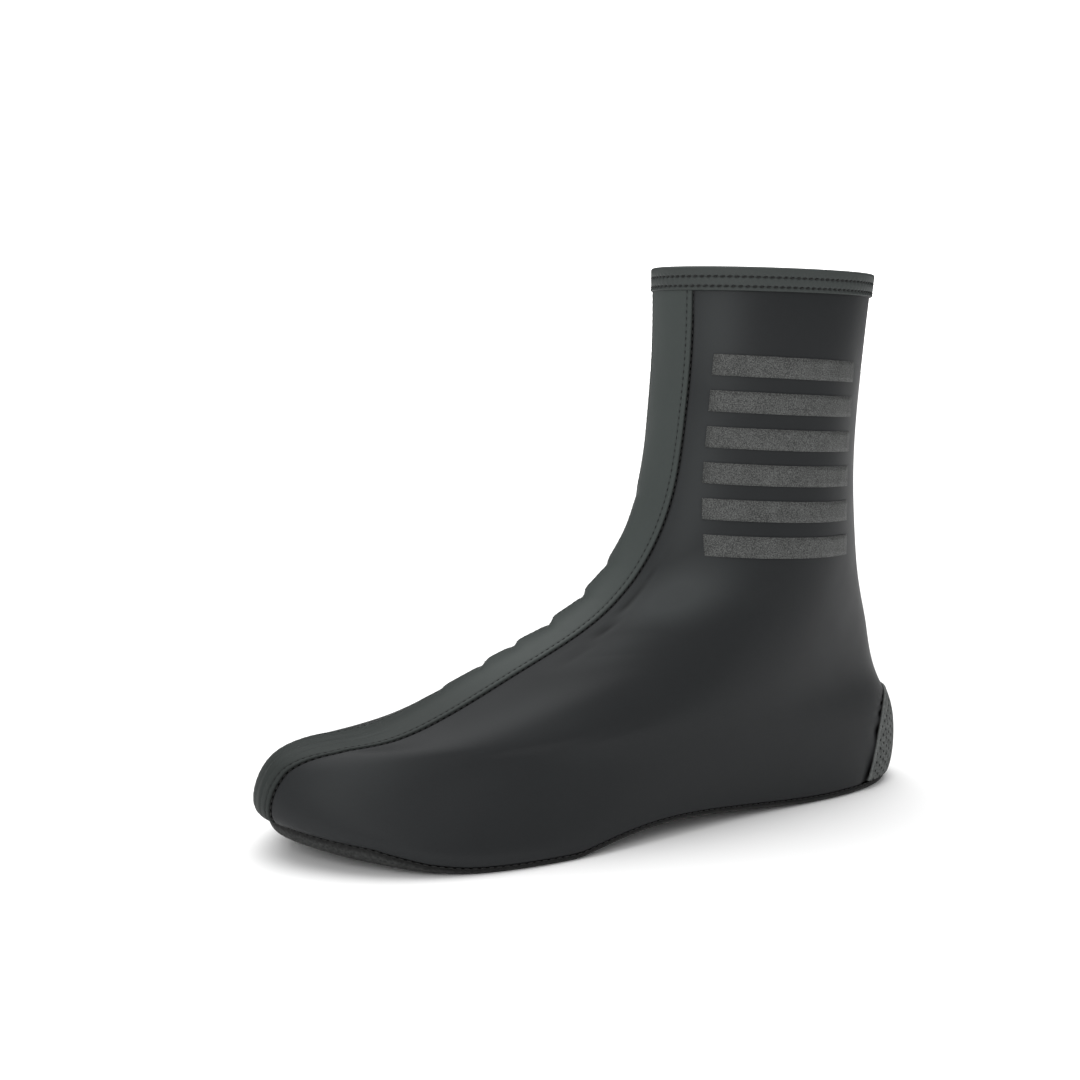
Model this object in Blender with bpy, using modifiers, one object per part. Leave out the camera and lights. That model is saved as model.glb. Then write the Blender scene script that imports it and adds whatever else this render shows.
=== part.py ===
"""Cycling overshoe for the left foot: a hollow cover of coated stretch fabric with a tall shaft.

Units are metres. The toe points to -X, the outer side of the foot to -Y, and up is +Z.
The wall is one function, wall_point(ring, rise). ring runs once round the foot: 0 on the middle
line of the toe, 1 on that of the heel by way of the outer side, and back to 2 by the inner side.
rise runs from the sole seam (0) to the collar (1). Every overlay is worked out from it.
"""

import math
from collections import namedtuple

import bmesh
import bpy
import numpy as np

# Outer sizes of the whole overshoe
OVERSHOE_LENGTH = 0.285
OVERSHOE_HEIGHT = 0.219
BALL_WIDTH = 0.108
HEEL_WIDTH = 0.068
TOE_HEIGHT = 0.0445
INSTEP_HEIGHT = 0.0895
HEEL_HEIGHT = 0.028
COLLAR_LENGTH = 0.0955
COLLAR_WIDTH = 0.074
COLLAR_SETBACK = 0.0675

# The curve of a left last, seen from above
TOE_SWING = 0.0108
BALL_SKEW = 0.005

# Fabric and joints between pieces
WALL = 0.0016
SEAM_GAP = 0.0003
OVERLAY_GAP = 0.0003
PANEL_THICKNESS = 0.0005
PATCH_THICKNESS = 0.0006
HEM_THICKNESS = 0.0008
BAR_THICKNESS = 0.0003

# Overlays
PANEL_WIDTH = 0.0270
HEM_HEIGHT = 0.0095
PATCH_WIDTH = 0.082
PATCH_HEIGHT = 0.0365
BAR_COUNT = 6
BAR_HEIGHT = 0.0083
BAR_PITCH = 0.0141
BAR_TOP_BELOW_COLLAR = 0.0330
BAR_DROP = 0.0036
BAR_FRONT_INSET = 0.0084
BAR_BACK_INSET = 0.0250
BAR_STAGGER = 0.0012
PANEL_START = 0.0015
PATCH_START = 0.0012

# Sole
SOLE_THICKNESS = 0.002
TOE_SPRING = 0.0090
ARCH_HEIGHT = 0.0060
HEEL_SPRING = 0.0015
TOE_WRAP = 0.0065
SEAM_HEIGHT = 0.0023
HEEL_WRAP = 0.0033
SIDE_ROUNDING = 0.9
CLEAT_OPENING_LENGTH = 0.062
CLEAT_OPENING_WIDTH = 0.046
HEEL_OPENING_LENGTH = 0.032
HEEL_OPENING_WIDTH = 0.030
OPENING_CORNER = 0.010

# Flat spots of the sole, as shares of the length from the toe
FOREFOOT_START = 0.23
FOREFOOT_END = 0.36
HEEL_START = 0.84
HEEL_END = 0.94
CLEAT_OPENING_AT = 0.335
HEEL_OPENING_AT = 0.875

# How steeply the sole turns up at its ends, and how far forward the arch peaks
TOE_CURVE = 1.7
HEEL_CURVE = 2.0
ARCH_FORWARD = 0.63
PAST_THE_END = 1.2

# The sole's middle line, as shares of the length in from toe and heel, and the rows out from it
SPINE_IN_TOE = 0.13
SPINE_IN_HEEL = 0.09
EDGE_TURNS = (0, 22.5, 45, 67.5, 90)
FLAT_ROWS = (0.72, 0.40, 0.0)

# How finely the form is divided
RING_STEPS = 48
RISES = np.concatenate((np.linspace(0, 0.24, 9), np.linspace(0.24, 1, 20)[1:]))
RISE_MARGIN = 0.01
PANEL_COLUMNS = 9
PATCH_COLUMNS = 13
BAR_COLUMNS = 15

# A section of the wall for each rise: where its front and back ends lie and how full it is.
# toe_to_collar: front end, 0 at the toe's tip and 1 under the collar's front edge
# front_level: 0 floor, 1 toe height, 2 instep height, 3 collar
# collar_to_heel: back end, 0 under the collar's back edge and 1 at the heel's back
# back_level: 0 floor, 1 heel height, 2 instep height, 3 collar
# toe to back: fullness at six stations from front to back, where 1 is an ellipse of the width
Section = namedtuple(
    "Section",
    "rise toe_to_collar front_level collar_to_heel back_level toe fore ball waist heel back widths",
)
SECTIONS = (
    Section(0.00, 0.030, 0.32, 0.86, 0.16, 0.91, 1.28, 1.01, 1.12, 1.33, 1.44, "foot"),
    Section(0.07, 0.000, 0.46, 0.99, 0.44, 1.04, 1.23, 0.99, 1.18, 1.35, 1.49, "foot"),
    Section(0.14, 0.040, 0.83, 1.00, 1.00, 0.92, 0.87, 0.88, 1.24, 1.29, 1.40, "foot"),
    Section(0.24, 0.225, 0.97, 0.59, 1.30, 0.57, 0.86, 0.89, 1.24, 1.17, 1.31, "foot"),
    Section(0.39, 0.525, 1.40, 0.28, 1.65, 0.49, 0.69, 0.80, 1.22, 1.06, 1.13, "foot"),
    Section(0.56, 0.811, 2.00, -0.02, 2.01, 0.75, 0.92, 1.10, 1.07, 0.91, 0.91, "shaft"),
    Section(0.69, 0.942, 2.26, -0.22, 2.20, 0.90, 0.93, 1.03, 1.02, 0.90, 0.91, "shaft"),
    Section(0.82, 0.986, 2.55, -0.30, 2.48, 0.98, 1.01, 1.01, 1.00, 0.92, 0.97, "shaft"),
    Section(0.90, 0.998, 2.74, -0.18, 2.73, 1.00, 1.03, 1.02, 1.01, 0.95, 1.00, "shaft"),
    Section(1.00, 0.998, 3.00, 0.00, 2.98, 1.00, 1.01, 0.99, 0.98, 0.98, 1.00, "shaft"),
)
STATIONS = (0.0, 0.2, 0.4, 0.6, 0.8, 1.0)
FRONT_STATIONS = 3

# Height of the seam above the underside, along the foot from the toe (0) to the heel (1)
Wrap = namedtuple("Wrap", "along toe_wrap seam_height heel_wrap")
WRAPS = (
    Wrap(0.00, 0.80, 0.0, 0.0),
    Wrap(0.06, 0.90, 0.0, 0.0),
    Wrap(0.10, 0.95, 0.0, 0.0),
    Wrap(0.13, 0.68, 0.1, 0.0),
    Wrap(0.16, 0.33, 0.5, 0.0),
    Wrap(0.20, 0.07, 0.9, 0.0),
    Wrap(0.25, 0.00, 1.0, 0.0),
    Wrap(0.60, 0.00, 1.0, 0.0),
    Wrap(0.80, 0.00, 0.5, 0.5),
    Wrap(1.00, 0.00, 0.0, 1.0),
)

# How the sole line, the swing and the skew fade up the wall
SOLE_LINE_FADE = 0.35
SWING_FADE = 0.70
SKEW_FADE = 0.60
SWING_START = 0.64
SWING_POWER = 1.6

# Half the front panel's width up the wall, as a share of its mean
PANEL_RISES = (0.0, 0.06, 0.10, 0.13, 0.15, 0.18, 0.22, 0.30, 0.42, 0.56, 0.69, 0.90, 1.0)
PANEL_SHARES = (0.52, 0.64, 0.68, 0.76, 0.92, 1.16, 1.14, 1.06, 1.02, 0.94, 0.98, 1.08, 1.12)

# Roundness of the heel patch's arched top
PATCH_UP_POWER = 2.0
PATCH_ACROSS_POWER = 2.25
PATCH_ROWS = (0.0, 0.17, 0.35, 0.52, 0.67, 0.78, 0.865, 0.93, 0.97, 0.992)

# The hem's rounded fold: how far its shoulders lie in and up, as shares of its thickness
HEM_SHOULDER_IN = 0.3
HEM_SHOULDER_UP = 0.6

# Ring places used to search along the outer side and to test which way a sheet faces
BAR_RINGS = np.linspace(0.05, 0.95, 181)
BAR_TRIES = 12
BAR_MIDDLE = (0.45, 0.8)
PANEL_MIDDLE = (0.0, 0.4)
PATCH_MIDDLE = (1.0, 0.1)

HEM_FOLD = SEAM_GAP + HEM_THICKNESS
HEEL_BACK = 0.0
TOE_TIP = HEEL_BACK - OVERSHOE_LENGTH
COLLAR_FRONT = HEEL_BACK - COLLAR_SETBACK - COLLAR_LENGTH / 2
COLLAR_BACK = HEEL_BACK - COLLAR_SETBACK + COLLAR_LENGTH / 2
COLLAR_TOP = OVERSHOE_HEIGHT - HEM_FOLD


def spline(knots, rows):
    """Natural cubic spline through rows of values, one row at each knot."""
    knots = np.asarray(knots, float)
    rows = np.asarray(rows, float)
    steps = np.diff(knots)
    bend = np.eye(len(knots))
    right = np.zeros(rows.shape)
    for i in range(1, len(knots) - 1):
        bend[i, i - 1 : i + 2] = steps[i - 1], 2 * (steps[i - 1] + steps[i]), steps[i]
        right[i] = 6 * ((rows[i + 1] - rows[i]) / steps[i] - (rows[i] - rows[i - 1]) / steps[i - 1])
    second = np.linalg.solve(bend, right)

    def at(place):
        place = np.asarray(place, float)
        i = np.clip(np.searchsorted(knots, place, side="right") - 1, 0, len(steps) - 1)
        before = (place - knots[i])[..., None]
        after = (knots[i + 1] - place)[..., None]
        step = steps[i][..., None]
        cubic = (second[i] * after**3 + second[i + 1] * before**3) / (6 * step)
        left = (rows[i] / step - second[i] * step / 6) * after
        return cubic + left + (rows[i + 1] / step - second[i + 1] * step / 6) * before

    return at


def level(share, mark):
    """Height of a level share between the floor, one landmark, the instep and the collar."""
    return np.interp(share, range(4), (0.0, mark, INSTEP_HEIGHT, COLLAR_TOP))


def section_values(section):
    """A section's end points and half widths in metres."""
    front_x = TOE_TIP + section.toe_to_collar * (COLLAR_FRONT - TOE_TIP)
    back_x = COLLAR_BACK + section.collar_to_heel * (HEEL_BACK - COLLAR_BACK)
    front_z = level(section.front_level, TOE_HEIGHT)
    back_z = level(section.back_level, HEEL_HEIGHT)
    fullness = (section.toe, section.fore, section.ball, section.waist, section.heel, section.back)
    if section.widths == "shaft":
        widths = [COLLAR_WIDTH] * len(STATIONS)
    else:
        widths = [BALL_WIDTH] * FRONT_STATIONS + [HEEL_WIDTH] * (len(STATIONS) - FRONT_STATIONS)
    halves = [share * width / 2 for share, width in zip(fullness, widths)]
    return [front_x, front_z, back_x, back_z, *halves]


SECTION_AT = spline([s.rise for s in SECTIONS], [section_values(s) for s in SECTIONS])
STATION_AT = spline(STATIONS, np.eye(len(STATIONS)))


def along_foot(x):
    """Share of the length from the toe's tip."""
    return (x - TOE_TIP) / OVERSHOE_LENGTH


def underside(x):
    """Height of the sole's underside above the floor: toe spring, arch and heel spring."""
    along = along_foot(x)
    toe = np.clip((FOREFOOT_START - along) / FOREFOOT_START, 0, PAST_THE_END) ** TOE_CURVE
    arch = np.clip((along - FOREFOOT_END) / (HEEL_START - FOREFOOT_END), 0, 1) ** ARCH_FORWARD
    heel = np.clip((along - HEEL_END) / (1 - HEEL_END), 0, PAST_THE_END) ** HEEL_CURVE
    return TOE_SPRING * toe + ARCH_HEIGHT * np.sin(math.pi * arch) ** 2 + HEEL_SPRING * heel


def seam_height(x):
    """Height of the seam between wall and sole."""
    heights = [
        w.toe_wrap * TOE_WRAP + w.seam_height * SEAM_HEIGHT + w.heel_wrap * HEEL_WRAP
        for w in WRAPS
    ]
    return underside(x) + np.interp(along_foot(x), [w.along for w in WRAPS], heights)


def swing(x):
    """How far the middle line of the foot lies to the inner side."""
    ahead = np.clip((SWING_START - along_foot(x)) / SWING_START, 0, 1)
    return TOE_SWING * ahead**SWING_POWER


def wall_point(ring, rise):
    """Point of the wall's outer surface."""
    ring, rise = np.broadcast_arrays(np.asarray(ring, float), np.asarray(rise, float))
    ring = ring % 2
    side = np.where(ring < 1, -1, 1)
    back = np.where(ring < 1, ring, 2 - ring)
    values = SECTION_AT(rise)
    front_x, front_z, back_x, back_z = np.moveaxis(values[..., :4], -1, 0)
    half = (values[..., 4:] * STATION_AT(back)).sum(axis=-1)
    share = (1 - np.cos(math.pi * back)) / 2
    breadth = np.sin(math.pi * back)
    skew = BALL_SKEW * breadth**2 * np.clip(1 - rise / SKEW_FADE, 0, 1)
    x = front_x + (back_x - front_x) * share - side * skew
    z = front_z + (back_z - front_z) * share
    seam_chord = SECTION_ENDS[0] + (SECTION_ENDS[1] - SECTION_ENDS[0]) * share
    z = z + np.clip(1 - rise / SOLE_LINE_FADE, 0, 1) ** 2 * (seam_height(x) - seam_chord)
    y = side * breadth * half + swing(x) * np.clip(1 - rise / SWING_FADE, 0, 1)
    return np.stack([x, y, z], axis=-1)


SECTION_ENDS = SECTION_AT(0.0)[[1, 3]]


def wall_normal(ring, rise):
    """Unit normal of the wall, facing out."""
    step = 1e-3
    low = np.clip(np.asarray(rise, float) - step, 0, 1)
    high = np.clip(np.asarray(rise, float) + step, 0, 1)
    around = wall_point(np.asarray(ring) + step, rise) - wall_point(np.asarray(ring) - step, rise)
    up = wall_point(ring, high) - wall_point(ring, low)
    normal = np.cross(around, up)
    return normal / np.linalg.norm(normal, axis=-1, keepdims=True)


def off_wall(ring, rise, distance):
    """Point a distance outside the wall's outer surface, or inside it if negative."""
    return wall_point(ring, rise) + wall_normal(ring, rise) * np.asarray(distance)[..., None]


def level_inward(ring, rise):
    """Horizontal unit direction into the overshoe."""
    inward = -wall_normal(ring, rise)
    inward[..., 2] = 0
    return inward / np.linalg.norm(inward, axis=-1, keepdims=True)


def rise_at_height(ring, height):
    """Rise at which the wall reaches a height."""
    rises = np.linspace(0, 1, 401)
    return float(np.interp(height, wall_point(ring, rises)[:, 2], rises))


def ring_at_distance(rise, distance, start):
    """Ring place a distance along the wall from the middle line, positive to the outer side."""
    turn = np.linspace(-0.7, 0.7, 561)
    points = wall_point(start + turn, rise)
    lengths = np.concatenate(([0], np.cumsum(np.linalg.norm(np.diff(points, axis=0), axis=1))))
    lengths -= np.interp(0, turn, lengths)
    return float(start + np.interp(distance, lengths, turn))


def rise_up_middle(length, ring):
    """Rise at a length up from the seam, along the middle line of the front (0) or back (1)."""
    rises = np.linspace(0, 1, 401)
    points = wall_point(ring, rises)
    lengths = np.concatenate(([0], np.cumsum(np.linalg.norm(np.diff(points, axis=0), axis=1))))
    return float(np.interp(length, lengths, rises))


def fabric(name, colour, roughness):
    material = bpy.data.materials.new(name)
    material.use_nodes = True
    shader = material.node_tree.nodes["Principled BSDF"]
    shader.inputs["Base Color"].default_value = (*colour, 1)
    shader.inputs["Roughness"].default_value = roughness
    shader.inputs["Metallic"].default_value = 0
    material.diffuse_color = (*colour, 1)
    return material


def add_piece(name, points, faces, material, collection):
    """A smooth mesh object from points and faces, joined where points coincide."""
    mesh = bpy.data.meshes.new(name)
    mesh.from_pydata([tuple(p) for p in points], [], faces)
    form = bmesh.new()
    form.from_mesh(mesh)
    bmesh.ops.remove_doubles(form, verts=form.verts, dist=1e-7)
    bmesh.ops.recalc_face_normals(form, faces=form.faces)
    form.to_mesh(mesh)
    form.free()
    mesh.shade_smooth()
    mesh.set_sharp_from_angle(angle=math.radians(40))
    piece = bpy.data.objects.new(name, mesh)
    piece.data.materials.append(material)
    collection.objects.link(piece)
    return piece


def loop_faces(rows, columns, close_rows, close_columns):
    """Quads of a grid of points, closed in either direction where asked."""
    faces = []
    for r in range(rows if close_rows else rows - 1):
        for c in range(columns if close_columns else columns - 1):
            r2 = (r + 1) % rows
            c2 = (c + 1) % columns
            corners = (r * columns + c, r * columns + c2, r2 * columns + c2, r2 * columns + c)
            faces.append(corners)
    return faces


def add_thick_strip(name, surface, thickness, material, collection):
    """A sheet with rows and columns of points, thickened outwards."""
    rows, columns = surface.shape[:2]
    faces = loop_faces(rows, columns, False, False)
    piece = add_piece(name, surface.reshape(-1, 3), faces, material, collection)
    wall = piece.modifiers.new("Thickness", "SOLIDIFY")
    wall.thickness = thickness
    wall.offset = 1
    wall.use_even_offset = True
    return piece


def face_outwards(piece, ring, rise):
    """Turns a sheet's faces so that they look away from the foot."""
    normals = [face.normal for face in piece.data.polygons]
    mean = np.mean([tuple(normal) for normal in normals], axis=0)
    if np.dot(mean, wall_normal(ring, rise)) < 0:
        piece.data.flip_normals()


def make_upper(material, collection):
    """The hollow body: an outer and an inner surface, open at the collar and underneath."""
    rings = np.arange(RING_STEPS) * 2 / RING_STEPS
    ring, rise = np.meshgrid(rings, RISES)
    outer = wall_point(ring, rise)
    inner = off_wall(ring, rise, np.full(ring.shape, -WALL))
    inner[0] = outer[0] + level_inward(rings, 0.0) * WALL
    inner[-1] = outer[-1] + level_inward(rings, 1.0) * WALL
    points = np.concatenate((outer, inner[::-1]))
    faces = loop_faces(len(points), RING_STEPS, True, True)
    return add_piece("upper", points.reshape(-1, 3), faces, material, collection)


def sole_rows(rim, lift):
    """Rows of the sole's surface from its rim to its middle line, lift above the underside."""
    rings = np.arange(RING_STEPS) * 2 / RING_STEPS
    share = (1 - np.cos(math.pi * rings)) / 2
    spine_front = TOE_TIP + SPINE_IN_TOE * OVERSHOE_LENGTH
    spine_back = HEEL_BACK - SPINE_IN_HEEL * OVERSHOE_LENGTH
    spine_x = spine_front + (spine_back - spine_front) * share
    spine = np.stack([spine_x, swing(spine_x)], axis=-1)
    reach = rim[:, :2] - spine
    length = np.linalg.norm(reach, axis=1, keepdims=True)
    height = rim[:, 2] - underside(rim[:, 0]) - lift
    rounding = (SIDE_ROUNDING * height)[:, None] / length
    rows = []
    for turn in np.radians(EDGE_TURNS):
        flat = spine + reach * (1 - rounding * (1 - math.cos(turn)))
        above = lift + height * (1 - math.sin(turn))
        rows.append(np.column_stack([flat, underside(flat[:, 0]) + above]))
    for left in FLAT_ROWS:
        flat = spine + reach * (1 - rounding) * left
        rows.append(np.column_stack([flat, underside(flat[:, 0]) + lift]))
    return np.array(rows)


def make_opening_cutter(name, at, length, width, cutters):
    """A block with rounded upright edges that cuts an opening through the sole."""
    form = bmesh.new()
    bmesh.ops.create_cube(form, size=1)
    bmesh.ops.scale(form, verts=form.verts, vec=(length, width, 8 * SOLE_THICKNESS))
    upright = [e for e in form.edges if abs(e.verts[0].co.z - e.verts[1].co.z) > SOLE_THICKNESS]
    bmesh.ops.bevel(form, geom=upright, offset=OPENING_CORNER, segments=5, profile=0.5, affect="EDGES")
    mesh = bpy.data.meshes.new(name)
    form.to_mesh(mesh)
    form.free()
    cutter = bpy.data.objects.new(name, mesh)
    x = TOE_TIP + at * OVERSHOE_LENGTH
    slope = (swing(x + length / 2) - swing(x - length / 2)) / length
    cutter.location = (x, swing(x), 0)
    cutter.rotation_euler = (0, 0, math.atan(slope))
    cutter.hide_render = True
    cutter.display_type = "WIRE"
    cutters.objects.link(cutter)
    return cutter


def make_sole(material, collection, cutters):
    """The sole fabric, wrapped up at toe and heel, with its two openings."""
    rings = np.arange(RING_STEPS) * 2 / RING_STEPS
    rim = wall_point(rings, 0.0)
    rim[:, 2] -= SEAM_GAP
    inner_rim = rim + level_inward(rings, 0.0) * SOLE_THICKNESS
    outer = sole_rows(rim, 0.0)
    inner = sole_rows(inner_rim, SOLE_THICKNESS)
    points = np.concatenate((outer[::-1], inner))
    faces = loop_faces(len(points), RING_STEPS, False, True)
    sole = add_piece("sole", points.reshape(-1, 3), faces, material, collection)
    sizes = (
        ("cleat_opening", CLEAT_OPENING_AT, CLEAT_OPENING_LENGTH, CLEAT_OPENING_WIDTH),
        ("heel_opening", HEEL_OPENING_AT, HEEL_OPENING_LENGTH, HEEL_OPENING_WIDTH),
    )
    for name, at, length, width in sizes:
        cut = sole.modifiers.new(name, "BOOLEAN")
        cut.operation = "DIFFERENCE"
        cut.object = make_opening_cutter(name, at, length, width, cutters)
    return sole


def make_front_panel(material, collection):
    """The centre panel, from the sole seam over toe and instep to the hem."""
    top = rise_at_height(0.0, OVERSHOE_HEIGHT - HEM_HEIGHT - 2 * SEAM_GAP)
    low = rise_up_middle(PANEL_START, 0.0)
    between = [rise for rise in RISES if low + RISE_MARGIN < rise < top - RISE_MARGIN]
    rises = [low, *between, top]
    surface = []
    for rise in rises:
        half = PANEL_WIDTH / 2 * np.interp(rise, PANEL_RISES, PANEL_SHARES)
        places = half * np.linspace(1, -1, PANEL_COLUMNS)
        rings = np.array([ring_at_distance(rise, place, 0.0) for place in places])
        surface.append(off_wall(rings, rise, np.full(rings.shape, OVERLAY_GAP)))
    piece = add_thick_strip("front_panel", np.array(surface), PANEL_THICKNESS, material, collection)
    face_outwards(piece, *PANEL_MIDDLE)
    return piece


def make_heel_patch(material, collection):
    """The arched patch round the back of the heel."""
    surface = []
    for share in PATCH_ROWS:
        half = PATCH_WIDTH / 2 * (1 - share**PATCH_UP_POWER) ** (1 / PATCH_ACROSS_POWER)
        rise = rise_up_middle(PATCH_START + share * (PATCH_HEIGHT - PATCH_START), 1.0)
        places = half * np.linspace(1, -1, PATCH_COLUMNS)
        rings = np.array([ring_at_distance(rise, place, 1.0) for place in places])
        surface.append(off_wall(rings, rise, np.full(rings.shape, OVERLAY_GAP)))
    piece = add_thick_strip("heel_patch", np.array(surface), PATCH_THICKNESS, material, collection)
    face_outwards(piece, *PATCH_MIDDLE)
    return piece


def make_collar_hem(material, collection):
    """The folded hem: a channel over the collar's edge, down both sides of the wall."""
    rings = np.arange(RING_STEPS) * 2 / RING_STEPS
    outside = SEAM_GAP + HEM_THICKNESS
    inside = -WALL - outside
    low = HEM_FOLD - HEM_HEIGHT
    shoulder = HEM_SHOULDER_IN * HEM_THICKNESS
    profile = (
        (outside, low),
        (outside, low / 2),
        (outside, 0),
        (outside - shoulder, SEAM_GAP + HEM_SHOULDER_UP * HEM_THICKNESS),
        (-WALL / 2, HEM_FOLD),
        (inside + shoulder, SEAM_GAP + HEM_SHOULDER_UP * HEM_THICKNESS),
        (inside, 0),
        (inside, low / 2),
        (inside, low),
        (-WALL - SEAM_GAP, low),
        (-WALL - SEAM_GAP, low / 2),
        (-WALL - SEAM_GAP, SEAM_GAP),
        (SEAM_GAP, SEAM_GAP),
        (SEAM_GAP, low / 2),
        (SEAM_GAP, low),
    )
    rows = []
    for out, up in profile:
        row = []
        for ring in rings:
            top = wall_point(ring, 1.0)
            rise = rise_at_height(ring, top[2] + min(up, 0))
            point = wall_point(ring, rise) - level_inward(ring, rise) * out
            point[2] += max(up, 0)
            row.append(point)
        rows.append(row)
    faces = loop_faces(len(profile), RING_STEPS, True, True)
    points = np.array(rows).reshape(-1, 3)
    return add_piece("collar_hem", points, faces, material, collection)


def make_bar(index, material, collection):
    """One of the equal bars across the outer side of the shaft."""
    top = COLLAR_TOP - BAR_TOP_BELOW_COLLAR - index * BAR_PITCH
    back_x = COLLAR_BACK - BAR_BACK_INSET
    surface = []
    for low in (0, 0.5, 1):
        down = index + (1 - low) * BAR_HEIGHT / BAR_PITCH
        front_x = COLLAR_FRONT + BAR_FRONT_INSET - BAR_STAGGER * down
        row = []
        for share in np.linspace(0, 1, BAR_COLUMNS):
            height = top - BAR_HEIGHT * (1 - low) - BAR_DROP * share
            ring = BAR_MIDDLE[0]
            for _ in range(BAR_TRIES):
                xs = wall_point(BAR_RINGS, rise_at_height(ring, height))[:, 0]
                ring = float(np.interp(front_x + (back_x - front_x) * share, xs, BAR_RINGS))
            row.append(off_wall(ring, rise_at_height(ring, height), np.array(OVERLAY_GAP)))
        surface.append(row)
    name = f"reflective_bar_{index + 1}"
    piece = add_thick_strip(name, np.array(surface), BAR_THICKNESS, material, collection)
    face_outwards(piece, *BAR_MIDDLE)
    return piece


def main():
    for old in list(bpy.data.objects):
        bpy.data.objects.remove(old)
    pieces = bpy.data.collections.new("Cycling_Overshoe")
    cutters = bpy.data.collections.new("Cutters")
    bpy.context.scene.collection.children.link(pieces)
    bpy.context.scene.collection.children.link(cutters)

    made = [
        make_upper(fabric("Coated_Stretch_Fabric", (0.045, 0.048, 0.047), 0.45), pieces),
        make_sole(fabric("Sole_Fabric", (0.075, 0.078, 0.078), 0.8), pieces, cutters),
        make_front_panel(fabric("Front_Panel_Fabric", (0.065, 0.068, 0.066), 0.42), pieces),
        make_heel_patch(fabric("Perforated_Patch", (0.10, 0.10, 0.10), 0.75), pieces),
        make_collar_hem(fabric("Hem_Fabric", (0.060, 0.062, 0.061), 0.5), pieces),
    ]
    bar_finish = fabric("Reflective_Film", (0.24, 0.24, 0.24), 0.6)
    made += [make_bar(index, bar_finish, pieces) for index in range(BAR_COUNT)]

    # The origin is the middle of the outline seen from above, on the floor
    corners = []
    graph = bpy.context.evaluated_depsgraph_get()
    for piece in made:
        shape = piece.evaluated_get(graph).to_mesh()
        corners += [tuple(vertex.co) for vertex in shape.vertices]
    corners = np.array(corners)
    middle = (corners.min(axis=0) + corners.max(axis=0)) / 2
    origin = bpy.data.objects.new("Overshoe_Origin", None)
    pieces.objects.link(origin)
    origin.location = (-middle[0], -middle[1], 0)
    for piece in made + list(cutters.objects):
        piece.parent = origin


main()
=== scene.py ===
"""Visual model of a black cycling overshoe for the left foot, standing empty on a pale floor.

Units are metres. The toe points to -X, the outer side of the foot to -Y, and up is +Z.
"""

import math
from collections import namedtuple

import bmesh
import bpy
import numpy as np
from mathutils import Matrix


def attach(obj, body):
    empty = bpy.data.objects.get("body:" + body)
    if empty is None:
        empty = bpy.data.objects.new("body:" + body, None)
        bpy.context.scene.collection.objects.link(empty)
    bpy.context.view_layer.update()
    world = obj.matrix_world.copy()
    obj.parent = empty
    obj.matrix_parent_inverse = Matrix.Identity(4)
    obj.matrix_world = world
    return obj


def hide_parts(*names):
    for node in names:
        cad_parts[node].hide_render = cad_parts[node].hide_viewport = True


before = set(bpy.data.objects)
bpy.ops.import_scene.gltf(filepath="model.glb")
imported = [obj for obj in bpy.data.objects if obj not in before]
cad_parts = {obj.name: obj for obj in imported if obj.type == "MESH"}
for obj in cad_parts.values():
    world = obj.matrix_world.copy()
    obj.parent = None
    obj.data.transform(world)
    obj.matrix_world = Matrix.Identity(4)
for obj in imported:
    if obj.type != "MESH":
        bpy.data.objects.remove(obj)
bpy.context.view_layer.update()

# Camera
# The photo is taken from the outer side, a little ahead of the toe and just below the collar,
# with a long lens: 36.55 degrees across the whole square picture.
YAW = 0.49213
PITCH = 0.13199
FIELD_OF_VIEW = math.radians(36.55)
CAMERA_AT = (-0.32846, -0.56110, 0.19681)

lens = bpy.data.cameras.new("Camera")
lens.sensor_fit = "HORIZONTAL"
lens.angle = FIELD_OF_VIEW
lens.dof.use_dof = False
camera = bpy.data.objects.new("Camera", lens)
camera.location = CAMERA_AT
camera.rotation_euler = (math.pi / 2 - PITCH, 0, -YAW)
bpy.context.scene.collection.objects.link(camera)
bpy.context.scene.camera = camera

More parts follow.
